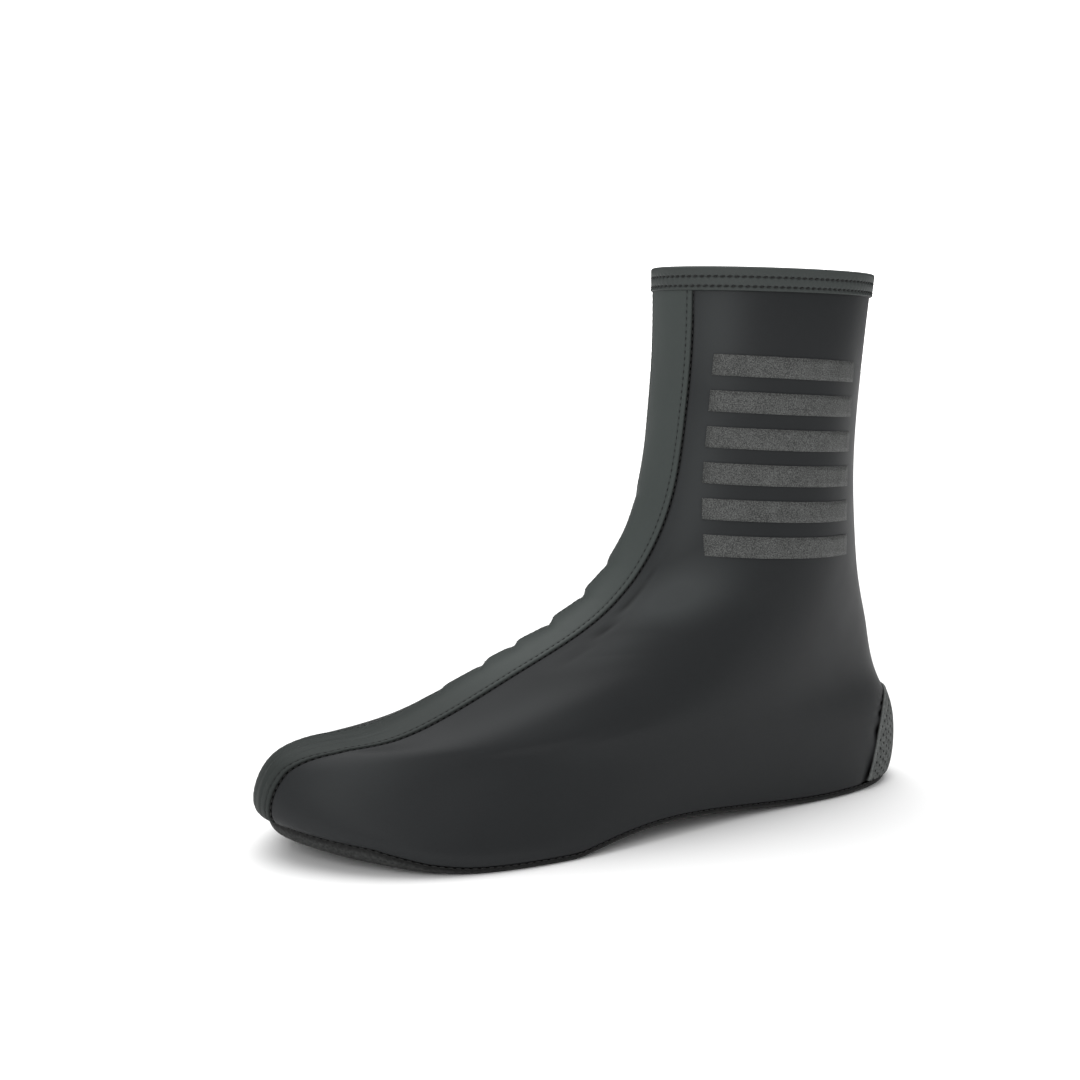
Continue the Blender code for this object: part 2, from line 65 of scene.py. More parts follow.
# Upper
# The body of the cover is a stretch laminate about 1.6 mm thick with a smooth satin coating
# outside and a brushed lining inside, cut as two sides and sewn to the front panel and sole.
# It is pulled over a last, so it is taut, with soft rolls across the instep and drag lines.
LENGTH = 0.285
HEIGHT = 0.219
BALL_WIDTH = 0.108
HEEL_WIDTH = 0.068
TOE_HEIGHT = 0.0445
INSTEP_HEIGHT = 0.0895
HEEL_HEIGHT = 0.028
COLLAR_LENGTH = 0.0955
COLLAR_WIDTH = 0.074
COLLAR_SETBACK = 0.0675
TOE_SWING = 0.0108
BALL_SKEW = 0.005
WALL = 0.0016
HEM_FOLD = 0.0011
TO_FRAME = np.array((0.142112, -0.00438, 0.0))
SECTIONS = (
    # rise, toe_to_collar, front_level, collar_to_heel, back_level, six fullnesses, widths
    (0.00, 0.030, 0.32, 0.86, 0.16, 0.91, 1.28, 1.01, 1.12, 1.33, 1.44, "foot"),
    (0.07, 0.000, 0.46, 0.99, 0.44, 1.04, 1.23, 0.99, 1.18, 1.35, 1.49, "foot"),
    (0.14, 0.040, 0.83, 1.00, 1.00, 0.92, 0.87, 0.88, 1.24, 1.29, 1.40, "foot"),
    (0.24, 0.225, 0.97, 0.59, 1.30, 0.57, 0.86, 0.89, 1.24, 1.17, 1.31, "foot"),
    (0.39, 0.525, 1.40, 0.28, 1.65, 0.49, 0.69, 0.80, 1.22, 1.06, 1.13, "foot"),
    (0.56, 0.811, 2.00, -0.02, 2.01, 0.75, 0.92, 1.10, 1.07, 0.91, 0.91, "shaft"),
    (0.69, 0.942, 2.26, -0.22, 2.20, 0.90, 0.93, 1.03, 1.02, 0.90, 0.91, "shaft"),
    (0.82, 0.986, 2.55, -0.30, 2.48, 0.98, 1.01, 1.01, 1.00, 0.92, 0.97, "shaft"),
    (0.90, 0.998, 2.74, -0.18, 2.73, 1.00, 1.03, 1.02, 1.01, 0.95, 1.00, "shaft"),
    (1.00, 0.998, 3.00, 0.00, 2.98, 1.00, 1.01, 0.99, 0.98, 0.98, 1.00, "shaft"),
)
STATIONS = (0.0, 0.2, 0.4, 0.6, 0.8, 1.0)
SEAM_ALONG = (0.0, 0.06, 0.10, 0.13, 0.16, 0.20, 0.25, 0.60, 0.80, 1.0)
SEAM_HEIGHTS = (0.0052, 0.0059, 0.0062, 0.0047, 0.0033, 0.0025, 0.0023, 0.0023, 0.0028, 0.0033)
TOE_SPRING = 0.0090
ARCH_HEIGHT = 0.0060
HEEL_SPRING = 0.0015
FOREFOOT = (0.23, 0.36)
HEEL_REST = (0.84, 0.94)
TOE_TIP = -LENGTH
COLLAR_FRONT = -COLLAR_SETBACK - COLLAR_LENGTH / 2
COLLAR_BACK = -COLLAR_SETBACK + COLLAR_LENGTH / 2
COLLAR_TOP = HEIGHT - HEM_FOLD

PANEL_HALF = 0.0135
PANEL_RISES = (0.0, 0.06, 0.10, 0.13, 0.15, 0.18, 0.22, 0.30, 0.42, 0.56, 0.69, 0.90, 1.0)
PANEL_SHARES = (0.52, 0.64, 0.68, 0.76, 0.92, 1.16, 1.14, 1.06, 1.02, 0.94, 0.98, 1.08, 1.12)
PATCH_HALF = 0.041
PATCH_HEIGHT = 0.0365
PATCH_ACROSS_POWER = 2.25

# Depth and half width of the grooves that the seams press in, and how deep the panel is bedded
PANEL_GROOVE = (0.0006, 0.0005)
PATCH_GROOVE = (0.0009, 0.0014)
PANEL_BED = 0.0006
SOLE_TUCK = 0.0005
SHOULDER = 0.0001
# Where the relief ends below the hem, as shares of the rise
HEM_FADE = (0.940, 0.955)

# Soft rolls across the instep: where each one's steep lower side lies, up the front middle line
# from the toe's seam, how high it stands and how far it reaches
Roll = namedtuple("Roll", "up height reach slant")
ROLLS = (
    Roll(0.0800, 0.0002, 0.017, 0.03),
    Roll(0.0965, 0.0005, 0.018, 0.05),
    Roll(0.1155, 0.0009, 0.018, -0.04),
    Roll(0.1320, 0.0010, 0.016, 0.08),
    Roll(0.1490, 0.0012, 0.018, -0.03),
    Roll(0.1690, 0.0011, 0.018, 0.06),
    Roll(0.1860, 0.0006, 0.018, 0.10),
    Roll(0.2180, 0.0003, 0.022, 0.05),
)

# Drag lines on the outer side, each a soft trough or ridge through points given as a length up
# the front middle line and a length round from it. The first is a narrow fold beside the seam.
Drag = namedtuple("Drag", "points height width")
FOLD = Drag(
    ((0.198, 0.0205), (0.189, 0.0192), (0.180, 0.0175), (0.166, 0.0182), (0.148, 0.0215),
     (0.138, 0.0235), (0.122, 0.0255)), -0.0007, 0.0011)
DRAGS = (
    FOLD,
    Drag(((0.205, 0.0300), (0.185, 0.0300), (0.166, 0.0320), (0.150, 0.0360), (0.130, 0.0390)),
         0.0008, 0.0110),
    Drag(((0.172, 0.036), (0.168, 0.050), (0.160, 0.064), (0.154, 0.076)), -0.0005, 0.0080),
    Drag(((0.184, 0.040), (0.180, 0.056), (0.172, 0.070)), 0.0004, 0.0070),
    Drag(((0.030, 0.030), (0.060, 0.040), (0.090, 0.050), (0.120, 0.062)), 0.0006, 0.0130),
    Drag(((0.010, 0.060), (0.040, 0.080), (0.080, 0.098)), -0.0006, 0.0140),
)

# Painted sheen, a lighter base colour where the taut fabric shines softly: length up the front
# middle line, length round from it, reach along both, and strength
PaintedSheen = namedtuple("PaintedSheen", "up across reach_up reach_across strength")
PAINTED_SHEENS = (
    PaintedSheen(0.172, 0.034, 0.019, 0.018, 1.20),
    PaintedSheen(0.140, 0.036, 0.022, 0.013, 0.40),
    PaintedSheen(0.090, 0.040, 0.030, 0.014, 0.28),
    PaintedSheen(0.026, 0.032, 0.016, 0.018, 0.35),
    PaintedSheen(0.225, 0.022, 0.050, 0.010, 0.60),
    PaintedSheen(0.285, 0.024, 0.035, 0.012, 0.70),
)


def spline(knots, rows):
    """Natural cubic spline through rows of values, one row at each knot."""
    knots = np.asarray(knots, float)
    rows = np.asarray(rows, float)
    steps = np.diff(knots)
    bend = np.eye(len(knots))
    right = np.zeros(rows.shape)
    for i in range(1, len(knots) - 1):
        bend[i, i - 1 : i + 2] = steps[i - 1], 2 * (steps[i - 1] + steps[i]), steps[i]
        right[i] = 6 * ((rows[i + 1] - rows[i]) / steps[i] - (rows[i] - rows[i - 1]) / steps[i - 1])
    second = np.linalg.solve(bend, right)

    def at(place):
        place = np.asarray(place, float)
        i = np.clip(np.searchsorted(knots, place, side="right") - 1, 0, len(steps) - 1)
        before = (place - knots[i])[..., None]
        after = (knots[i + 1] - place)[..., None]
        step = steps[i][..., None]
        cubic = (second[i] * after**3 + second[i + 1] * before**3) / (6 * step)
        left = (rows[i] / step - second[i] * step / 6) * after
        return cubic + left + (rows[i + 1] / step - second[i + 1] * step / 6) * before

    return at


def section_values(rise, toe_to_collar, front_level, collar_to_heel, back_level, *rest):
    """A section's end points and half widths."""
    *fullness, widths = rest
    front_z = np.interp(front_level, range(4), (0, TOE_HEIGHT, INSTEP_HEIGHT, COLLAR_TOP))
    back_z = np.interp(back_level, range(4), (0, HEEL_HEIGHT, INSTEP_HEIGHT, COLLAR_TOP))
    front_x = TOE_TIP + toe_to_collar * (COLLAR_FRONT - TOE_TIP)
    back_x = COLLAR_BACK * (1 - collar_to_heel)
    full = [COLLAR_WIDTH] * 6 if widths == "shaft" else [BALL_WIDTH] * 3 + [HEEL_WIDTH] * 3
    return [front_x, front_z, back_x, back_z, *(a * b / 2 for a, b in zip(fullness, full))]


SECTION_AT = spline([s[0] for s in SECTIONS], [section_values(*s) for s in SECTIONS])
STATION_AT = spline(STATIONS, np.eye(6))
SECTION_ENDS = SECTION_AT(0.0)[[1, 3]]


def underside(x):
    """Height of the sole's underside: toe spring, arch and heel spring."""
    along = (x - TOE_TIP) / LENGTH
    toe = np.clip((FOREFOOT[0] - along) / FOREFOOT[0], 0, 1.2) ** 1.7
    arch = np.clip((along - FOREFOOT[1]) / (HEEL_REST[0] - FOREFOOT[1]), 0, 1) ** 0.63
    heel = np.clip((along - HEEL_REST[1]) / (1 - HEEL_REST[1]), 0, 1.2) ** 2
    return TOE_SPRING * toe + ARCH_HEIGHT * np.sin(math.pi * arch) ** 2 + HEEL_SPRING * heel


def seam_height(x):
    return underside(x) + np.interp((x - TOE_TIP) / LENGTH, SEAM_ALONG, SEAM_HEIGHTS)


def swing(x):
    """How far the middle line of the foot lies to the inner side."""
    ahead = np.clip((0.64 - (x - TOE_TIP) / LENGTH) / 0.64, 0, 1)
    return TOE_SWING * ahead**1.6


def wall_point(ring, rise):
    """Point of the wall's outer surface. ring is 0 at the toe, 1 at the heel by the outer side."""
    ring, rise = np.broadcast_arrays(np.asarray(ring, float), np.asarray(rise, float))
    ring = ring % 2
    side = np.where(ring < 1, -1, 1)
    back = np.where(ring < 1, ring, 2 - ring)
    values = SECTION_AT(rise)
    front_x, front_z, back_x, back_z = np.moveaxis(values[..., :4], -1, 0)
    half = (values[..., 4:] * STATION_AT(back)).sum(axis=-1)
    share = (1 - np.cos(math.pi * back)) / 2
    breadth = np.sin(math.pi * back)
    skew = BALL_SKEW * breadth**2 * np.clip(1 - rise / 0.60, 0, 1)
    x = front_x + (back_x - front_x) * share - side * skew
    z = front_z + (back_z - front_z) * share
    chord = SECTION_ENDS[0] + (SECTION_ENDS[1] - SECTION_ENDS[0]) * share
    z = z + np.clip(1 - rise / 0.35, 0, 1) ** 2 * (seam_height(x) - chord)
    y = side * breadth * half + swing(x) * np.clip(1 - rise / 0.70, 0, 1)
    return np.stack([x, y, z], axis=-1)


def wall_normal(ring, rise):
    step = 1e-3
    low = np.clip(np.asarray(rise, float) - step, 0, 1)
    high = np.clip(np.asarray(rise, float) + step, 0, 1)
    around = wall_point(np.asarray(ring) + step, rise) - wall_point(np.asarray(ring) - step, rise)
    normal = np.cross(around, wall_point(ring, high) - wall_point(ring, low))
    return normal / np.linalg.norm(normal, axis=-1, keepdims=True)


def lengths_of(points):
    """Running length along a row of points."""
    return np.concatenate(([0], np.cumsum(np.linalg.norm(np.diff(points, axis=0), axis=1))))


RISE_TABLE = np.linspace(0, 1, 801)
FRONT_LENGTHS = lengths_of(wall_point(0.0, RISE_TABLE))
BACK_LENGTHS = lengths_of(wall_point(1.0, RISE_TABLE))


def ring_at_distance(rise, distance, start):
    """Ring places at distances round the wall from a middle line, positive to the outer side."""
    turn = np.linspace(-0.9, 0.9, 721)
    lengths = lengths_of(wall_point(start + turn, rise))
    lengths -= np.interp(0, turn, lengths)
    return start + np.interp(distance, lengths, turn)


def panel_half(rise):
    return PANEL_HALF * np.interp(rise, PANEL_RISES, PANEL_SHARES)


def smooth(low, high, value):
    """0 below low and 1 above high, with a soft step between."""
    t = np.clip((value - low) / (high - low), 0, 1)
    return t * t * (3 - 2 * t)


def hump(away, width):
    """1 where away is 0, fading softly over a width on both sides."""
    return np.exp(-((away / width) ** 2))


def rolls(up, across):
    """Height of the soft rolls over the instep, up the middle line and across from it."""
    height = np.zeros(np.broadcast(up, across).shape)
    for roll in ROLLS:
        t = (up - roll.up - roll.slant * across) / roll.reach
        steep = smooth(-0.10, 0.16, t)
        easy = 1 - smooth(0.10, 1.05, t)
        dip = hump(t + 0.10, 0.11)
        height += roll.height * (steep * easy - 0.55 * dip)
    crest = across + 0.013
    inner = hump(crest, 0.024)
    outer = 0.86 * hump(crest, 0.0075) + 0.14 * hump(crest, 0.018)
    return height * np.where(crest < 0, inner, outer)


def distance_to_line(up, across, points):
    """Distance from each place to a line of points, and the share of the way along it."""
    best = np.full(up.shape, 1e9)
    share = np.zeros(up.shape)
    points = np.asarray(points, float)
    run = lengths_of(points)
    for i in range(len(points) - 1):
        leg = points[i + 1] - points[i]
        t = ((up - points[i, 0]) * leg[0] + (across - points[i, 1]) * leg[1]) / (leg @ leg)
        t = np.clip(t, 0, 1)
        away = np.hypot(up - points[i, 0] - t * leg[0], across - points[i, 1] - t * leg[1])
        nearer = away < best
        best = np.where(nearer, away, best)
        share = np.where(nearer, (run[i] + t * (run[i + 1] - run[i])) / run[-1], share)
    return best, share


def drags(up, across):
    """Height of the drag lines, fading at both ends."""
    height = np.zeros(up.shape)
    for drag in DRAGS:
        away, share = distance_to_line(up, across, drag.points)
        ends = np.sin(math.pi * np.clip(share, 0.02, 0.98)) ** 0.7
        height += drag.height * ends * hump(away, drag.width)
    return height


def painted_sheens(up, across):
    """Strength of the painted sheen, the same on both sides."""
    strength = np.zeros(up.shape)
    for spot in PAINTED_SHEENS:
        along = (up - spot.up) / spot.reach_up
        aside = (np.abs(across) - spot.across) / spot.reach_across
        strength = np.maximum(strength, spot.strength * np.exp(-(along**2) - aside**2))
    return strength


def patch_half(up):
    """Half width of the heel patch at a length up the back middle line."""
    share = np.clip(up / PATCH_HEIGHT, 0, 1)
    return PATCH_HALF * (1 - share**2) ** (1 / PATCH_ACROSS_POWER)


SATIN = 0.10


class Wire:
    """One output of a shader node. Arithmetic on it adds the nodes that do it."""

    def __init__(self, tree, socket=None):
        self.tree = tree
        self.socket = socket

    def node(self, kind, settings=None, values=None, output=0):
        """Adds a node: its settings first, then its sockets' values or links."""
        made = self.tree.nodes.new("ShaderNode" + kind)
        for key, value in (settings or {}).items():
            setattr(made, key, value)
        for key, value in (values or {}).items():
            if isinstance(value, Wire):
                self.tree.links.new(value.socket, made.inputs[key])
            else:
                made.inputs[key].default_value = value
        return Wire(self.tree, made.outputs[output])

    def maths(self, operation, first, second=0.0, third=0.0):
        settings = {"operation": operation}
        return self.node("Math", settings, {0: first, 1: second, 2: third})

    def __add__(self, other):
        return self.maths("ADD", self, other)

    def __sub__(self, other):
        return self.maths("SUBTRACT", self, other)

    def __rsub__(self, other):
        return self.maths("SUBTRACT", other, self)

    def __mul__(self, other):
        return self.maths("MULTIPLY", self, other)

    def __truediv__(self, other):
        return self.maths("DIVIDE", self, other)

    __radd__ = __add__
    __rmul__ = __mul__

    def step(self, low, high):
        """0 below low and 1 above high, with a soft step between."""
        values = {0: self, 1: low, 2: high, 3: 0.0, 4: 1.0}
        return self.node("MapRange", {"interpolation_type": "SMOOTHSTEP"}, values)

    def mix(self, colour, other):
        """Colour where this is 0, other where it is 1."""
        return self.node("Mix", {"data_type": "RGBA"}, {0: self, 6: colour, 7: other}, 2)


def grey(level, red=1.0, blue=1.0):
    """A grey colour, warmer or cooler by its red and blue shares."""
    return (level * red, level, level * blue, 1.0)


def start_material(name):
    """A material with its Principled shader, and a wire to build its other nodes from."""
    material = bpy.data.materials.new(name)
    material.use_nodes = True
    tree = material.node_tree
    return material, tree.nodes["Principled BSDF"], Wire(tree)


def plug(shader, **values):
    """Feeds the shader's sockets with numbers, colours or wires, spaces written as _."""
    for key, value in values.items():
        socket = shader.inputs[key.replace("_", " ")]
        if isinstance(value, Wire):
            value.tree.links.new(value.socket, socket)
        else:
            socket.default_value = value


def coated_fabric(name, level, roughness, red=1.0, blue=1.0):
    """Satin coated stretch fabric: fine grain, painted cloudy sheen, black painted shade in seam
    grooves.
    """
    material, shader, wire = start_material(name)
    place = wire.node("TexCoord", output=3)
    cloud = wire.node("TexNoise", {}, {"Vector": place, "Scale": 18.0, "Detail": 3.0})
    grain = wire.node("TexNoise", {}, {"Vector": place, "Scale": 2600.0, "Detail": 2.0})
    weave = wire.node("TexVoronoi", {}, {"Vector": place, "Scale": 1500.0})
    smear = wire.node("TexNoise", {}, {"Vector": place, "Scale": 70.0, "Detail": 4.0})
    painted_shade = wire.node("Attribute", {"attribute_name": "painted_shade"}, output=2)
    tone = (cloud - 0.5) * 0.5 + (grain - 0.5) * 0.35 + 0.5
    colour = tone.mix(grey(level * 0.8, red, blue), grey(level * 1.2, red, blue))
    # Painted sheen: the base colour turns lighter where the taut fabric shines softly
    painted_sheen = wire.node("Attribute", {"attribute_name": "painted_sheen"}, output=2)
    colour = painted_sheen.mix(colour, grey(level * 2.15, red - 0.01, blue - 0.03))
    # Painted shade: near black in the seam grooves, creases and sunk edges
    colour = (painted_shade * 0.95).mix(colour, grey(0.003))
    rough = (cloud - 0.5) * 0.12 + (smear - 0.5) * 0.10 + painted_shade * 0.3 + roughness
    height = grain * 0.6 + weave * 0.4
    bump = wire.node("Bump", {}, {"Strength": 0.22, "Distance": 0.00012, "Height": height})
    plug(shader, Base_Color=colour, Roughness=rough, Normal=bump, Metallic=0.0)
    plug(shader, Specular_IOR_Level=SATIN)
    return material


def add_mesh(name, points, faces, materials, uv=None, painted_shade=None, face_slots=None):
    """A smooth mesh object in the frame from a list of points and faces."""
    mesh = bpy.data.meshes.new(name)
    mesh.from_pydata(np.asarray(points).reshape(-1, 3) + TO_FRAME, [], faces)
    if uv is not None:
        corners = np.empty(len(mesh.loops), int)
        mesh.loops.foreach_get("vertex_index", corners)
        layer = mesh.uv_layers.new(name="Lengths")
        layer.data.foreach_set("uv", np.asarray(uv).reshape(-1, 2)[corners].ravel())
    if painted_shade is not None:
        layer = mesh.attributes.new("painted_shade", "FLOAT", "POINT")
        layer.data.foreach_set("value", np.asarray(painted_shade, float).ravel())
    for material in materials:
        mesh.materials.append(material)
    if face_slots is not None:
        mesh.polygons.foreach_set("material_index", face_slots)
    mesh.shade_smooth()
    piece = bpy.data.objects.new(name, mesh)
    bpy.context.scene.collection.objects.link(piece)
    return piece


def grid_faces(rows, columns, close_columns):
    """Quads of a grid of points, facing out where columns run round and rows run up."""
    r, c = np.meshgrid(np.arange(rows - 1), np.arange(columns - (not close_columns)), indexing="ij")
    c2 = (c + 1) % columns
    quads = np.stack([r * columns + c, r * columns + c2, (r + 1) * columns + c2, (r + 1) * columns + c])
    return quads.reshape(4, -1).T


def closing_faces(rows, columns):
    """Quads that join the last row of a closed grid to its first row."""
    here = np.arange(columns)
    beyond = (here + 1) % columns
    last = (rows - 1) * columns
    return np.stack([last + here, last + beyond, beyond, here]).T


def add_values(piece, name, values):
    """Gives each point of a piece a number that its material reads by name."""
    layer = piece.data.attributes.new(name, "FLOAT", "POINT")
    layer.data.foreach_set("value", values.ravel())


coated = coated_fabric("Satin_Coated_Fabric", 0.0210, 0.44, 0.94, 1.05)
lining, shader, wire = start_material("Brushed_Lining")
place = wire.node("TexCoord", output=3)
pile = wire.node("TexNoise", {}, {"Vector": place, "Scale": 900.0, "Detail": 6.0})
bump = wire.node("Bump", {}, {"Strength": 0.6, "Distance": 0.0004, "Height": pile})
plug(shader, Base_Color=pile.mix(grey(0.012), grey(0.05)), Roughness=0.95, Normal=bump)
plug(shader, Sheen_Weight=0.3, Sheen_Roughness=0.6)

ROWS_UP = 290
rises = np.interp(np.linspace(0, FRONT_LENGTHS[-1], ROWS_UP), FRONT_LENGTHS, RISE_TABLE)
rises = np.sort(np.concatenate((rises, (0.002, 0.0045))))
BESIDE_SEAM = np.array((0.0, 0.0002, 0.0005, 0.0009, 0.0014, 0.0020, 0.0028, 0.0038))
SIDE_FROM = 0.0052
BED_IN = 0.0004
SIDE_COLUMNS = 62
PANEL_COLUMNS = 16


def column_distances(rise):
    """Distances of a row's points from the front middle line: bed, outer side, inner side."""
    half = panel_half(rise)
    whole = lengths_of(wall_point(np.linspace(0, 1, 181), rise))[-1]
    other = lengths_of(wall_point(np.linspace(0, -1, 181), rise))[-1]
    bed = np.linspace(-half + BED_IN, half - BED_IN, PANEL_COLUMNS)
    out = half + np.concatenate((BESIDE_SEAM, np.linspace(SIDE_FROM, whole - half, SIDE_COLUMNS)))
    back = -half - np.concatenate((BESIDE_SEAM, np.linspace(SIDE_FROM, other - half, SIDE_COLUMNS)))
    return bed, out, back


def from_back_middle(ring, rise):
    """Distances of a row's points from the back middle line."""
    run = lengths_of(wall_point(ring, rise))
    return np.abs(run - np.interp(1.0, ring[PANEL_COLUMNS:], run[PANEL_COLUMNS:]))


ring_rows = []
across_rows = []
for rise in rises:
    bed, out, back = column_distances(rise)
    turn = np.linspace(0, 1, 361)
    outer_run = lengths_of(wall_point(turn, rise))
    inner_run = lengths_of(wall_point(-turn, rise))
    across = np.concatenate((bed, out, back[::-1][1:]))
    outer_ring = np.interp(across, outer_run, turn)
    inner_ring = 2 - np.interp(-across, inner_run, turn)
    ring_rows.append(np.where(across >= 0, outer_ring, inner_ring))
    across_rows.append(across)
ring = np.array(ring_rows)
across = np.array(across_rows)
rise = np.broadcast_to(rises[:, None], ring.shape)
up = np.interp(rise, RISE_TABLE, FRONT_LENGTHS)
beside = np.abs(across) - panel_half(rise)
back_up = np.interp(rise, RISE_TABLE, BACK_LENGTHS)
from_back = np.array([from_back_middle(r, v) for r, v in zip(ring, rises)])
patch_edge = from_back - patch_half(back_up)
above_patch = back_up - PATCH_HEIGHT
patch_gap = np.where(above_patch < 0, np.abs(patch_edge), np.hypot(patch_edge, above_patch))

relief = rolls(up, across) + drags(up, across)
relief -= PANEL_GROOVE[0] * hump(np.maximum(beside, 0), PANEL_GROOVE[1])
relief -= PANEL_BED * (1 - smooth(-0.0002, 0.0002, beside))
relief += SHOULDER * hump(beside - 0.0016, 0.0009)
relief -= SOLE_TUCK * hump(rise, 0.003)
relief -= PATCH_GROOVE[0] * hump(patch_gap, PATCH_GROOVE[1]) * (above_patch < 0.004)
relief *= 1 - smooth(*HEM_FADE, rise)
# Painted shade in the fold beside the seam, in the panel's seam grooves, round the heel patch and at
# the sole
fold_away, fold_share = distance_to_line(up, across, FOLD.points)
upper_painted_shade = 0.5 * np.sin(math.pi * np.clip(fold_share, 0.02, 0.98)) * hump(fold_away, 0.0007)
upper_painted_shade += hump(np.maximum(beside, 0), 0.0007)
upper_painted_shade += hump(patch_gap, 0.0017) * (above_patch < 0.003)
upper_painted_shade = np.clip(upper_painted_shade + hump(rise, 0.0035), 0, 1)
outer = wall_point(ring, rise) + wall_normal(ring, rise) * relief[..., None]
inner_every = np.linspace(len(rises) - 1, 0, 60).astype(int)
inner = (wall_point(ring, rise) - wall_normal(ring, rise) * WALL)[inner_every]
level = -wall_normal(ring[[0, -1]], rise[[0, -1]])
level[..., 2] = 0
level /= np.linalg.norm(level, axis=-1, keepdims=True)
inner[0] = wall_point(ring[-1], 1.0) + level[1] * WALL
inner[-1] = wall_point(ring[0], 0.0) + level[0] * WALL
points = np.concatenate((outer, inner))
rows, columns = points.shape[:2]
faces = np.concatenate((grid_faces(rows, columns, True), closing_faces(rows, columns)))
slots = np.zeros(len(faces), int)
slots[len(rises) * columns :] = 1
painted_shade_values = np.concatenate((upper_painted_shade, np.zeros(inner.shape[:2])))
laid_flat = np.stack([across, up], -1)
uv = np.concatenate((laid_flat, laid_flat[inner_every]))
upper = add_mesh("Upper", points, faces.tolist(), [coated, lining], uv, painted_shade_values, slots)
# How strongly the painted sheen lightens each point of the upper
add_values(upper, "painted_sheen", np.concatenate((painted_sheens(up, across), np.zeros(inner.shape[:2]))))
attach(upper, "root")
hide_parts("upper")

# Front panel
# A separate strip of the same coated fabric runs from the toe over the instep to the hem. Its
# edges are turned under and sewn to the sides, with a fine row of stitches 2.4 mm inside.
PANEL_STANDS = 0.0007
PANEL_THICKNESS = 0.0004
PANEL_STITCH_IN = 0.0024
PANEL_STITCH = 0.0026
PANEL_START = 0.0014
PANEL_ROWS = 330
PANEL_MIDDLE_IN = 0.0044
PANEL_MIDDLE_COLUMNS = 34
PANEL_UNDER_HEM = 0.0008
HEM_HEIGHT = 0.0095
# Drag lines down the toe: place across, height and width
STREAKS = (
    (-0.0052, 0.00012, 0.0010),
    (-0.0015, -0.00014, 0.0012),
    (0.0018, 0.00015, 0.0009),
    (0.0046, -0.00018, 0.0008),
    (0.0066, 0.00014, 0.0007),
)

# Painted light: the panel's base is lighter than the same fabric on the sides, for the light on its
# face
panel_fabric = coated_fabric("Front_Panel_Fabric", 0.055, 0.46, 0.87, 0.96)
panel_top = HEIGHT - HEM_HEIGHT + PANEL_UNDER_HEM
top_rise = float(np.interp(panel_top, wall_point(0.0, RISE_TABLE)[:, 2], RISE_TABLE))
panel_ups = np.linspace(PANEL_START, np.interp(top_rise, RISE_TABLE, FRONT_LENGTHS), PANEL_ROWS)
panel_rises = np.interp(panel_ups, FRONT_LENGTHS, RISE_TABLE)
edge = np.array((0.0, 0.0003, 0.0007, 0.0012, 0.0017, 0.0021, 0.0024, 0.0027, 0.0031, 0.0036))
panel_rings = []
panel_across = []
for value in panel_rises:
    half = panel_half(value)
    middle_half = half - PANEL_MIDDLE_IN
    middle = np.linspace(-middle_half, middle_half, PANEL_MIDDLE_COLUMNS)
    spots = np.concatenate((-half + edge, middle, (half - edge)[::-1]))
    panel_rings.append(ring_at_distance(value, spots, 0.0))
    panel_across.append(spots)
panel_rings = np.array(panel_rings)
panel_across = np.array(panel_across)
panel_rise = np.broadcast_to(panel_rises[:, None], panel_rings.shape)
panel_up = np.interp(panel_rise, RISE_TABLE, FRONT_LENGTHS)
inside = panel_half(panel_rise) - np.abs(panel_across)
stands = PANEL_STANDS * smooth(-0.0002, 0.0007, inside) - 0.0005 * (1 - smooth(0, 0.0004, inside))
stands *= smooth(-0.001, 0.005, panel_up)
stitch_line = -0.00016 * hump(inside - PANEL_STITCH_IN, 0.0005)
pucker = 0.00006 * np.sin(panel_up * 2 * math.pi / PANEL_STITCH) * hump(inside - 0.0014, 0.0012)
streaks = np.zeros(panel_rise.shape)
for place, height, width in STREAKS:
    wander = place * (0.8 + 4.0 * panel_up) + 0.0008 * np.sin(panel_up * 90 + place * 900)
    streaks += height * hump(panel_across - wander, width)
streaks *= smooth(0.0, 0.012, panel_up) * (1 - smooth(0.045, 0.085, panel_up))
panel_relief = rolls(panel_up, panel_across) + stands + stitch_line + pucker + streaks
panel_outs = wall_normal(panel_rings, panel_rise)
panel_points = wall_point(panel_rings, panel_rise) + panel_outs * panel_relief[..., None]
# Painted shade darkens the panel at its turned edge, along its stitches and towards the toe
panel_painted_shade = 1 - smooth(0.0001, 0.0004, inside) + 0.2 * hump(inside - PANEL_STITCH_IN, 0.0003)
panel_painted_shade += 0.36 * (1 - smooth(0.07, 0.14, panel_up)) + 0.12 * (1 - smooth(0.02, 0.05, panel_up))
panel_painted_shade = np.clip(panel_painted_shade + hump(panel_up - PANEL_START, 0.0004), 0, 1)
panel = add_mesh(
    "Front_Panel", panel_points, grid_faces(*panel_rise.shape, False).tolist(), [panel_fabric],
    np.stack([panel_across, panel_up], -1), panel_painted_shade,
)


def thicken(piece, thickness):
    """Gives a skin its thickness, inwards."""
    thick = piece.modifiers.new("Thickness", "SOLIDIFY")
    thick.thickness = thickness
    thick.offset = -1


thicken(panel, PANEL_THICKNESS)
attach(panel, "root")
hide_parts("front_panel")

# Seam threads
# Black polyester thread: dashes in the seams on both sides of the front panel, a finer row just
# inside each of them, and a row round the foot just above the sole.
SOLE_STITCH = 0.0030
SOLE_STITCH_RISE = 0.0006


def spaced(points, step):
    """Places, as running row numbers, a step apart along a row of points."""
    run = lengths_of(points)
    count = max(int(run[-1] / step), 2)
    return np.interp((np.arange(count) + 0.5) * run[-1] / count, run, np.arange(len(points)))


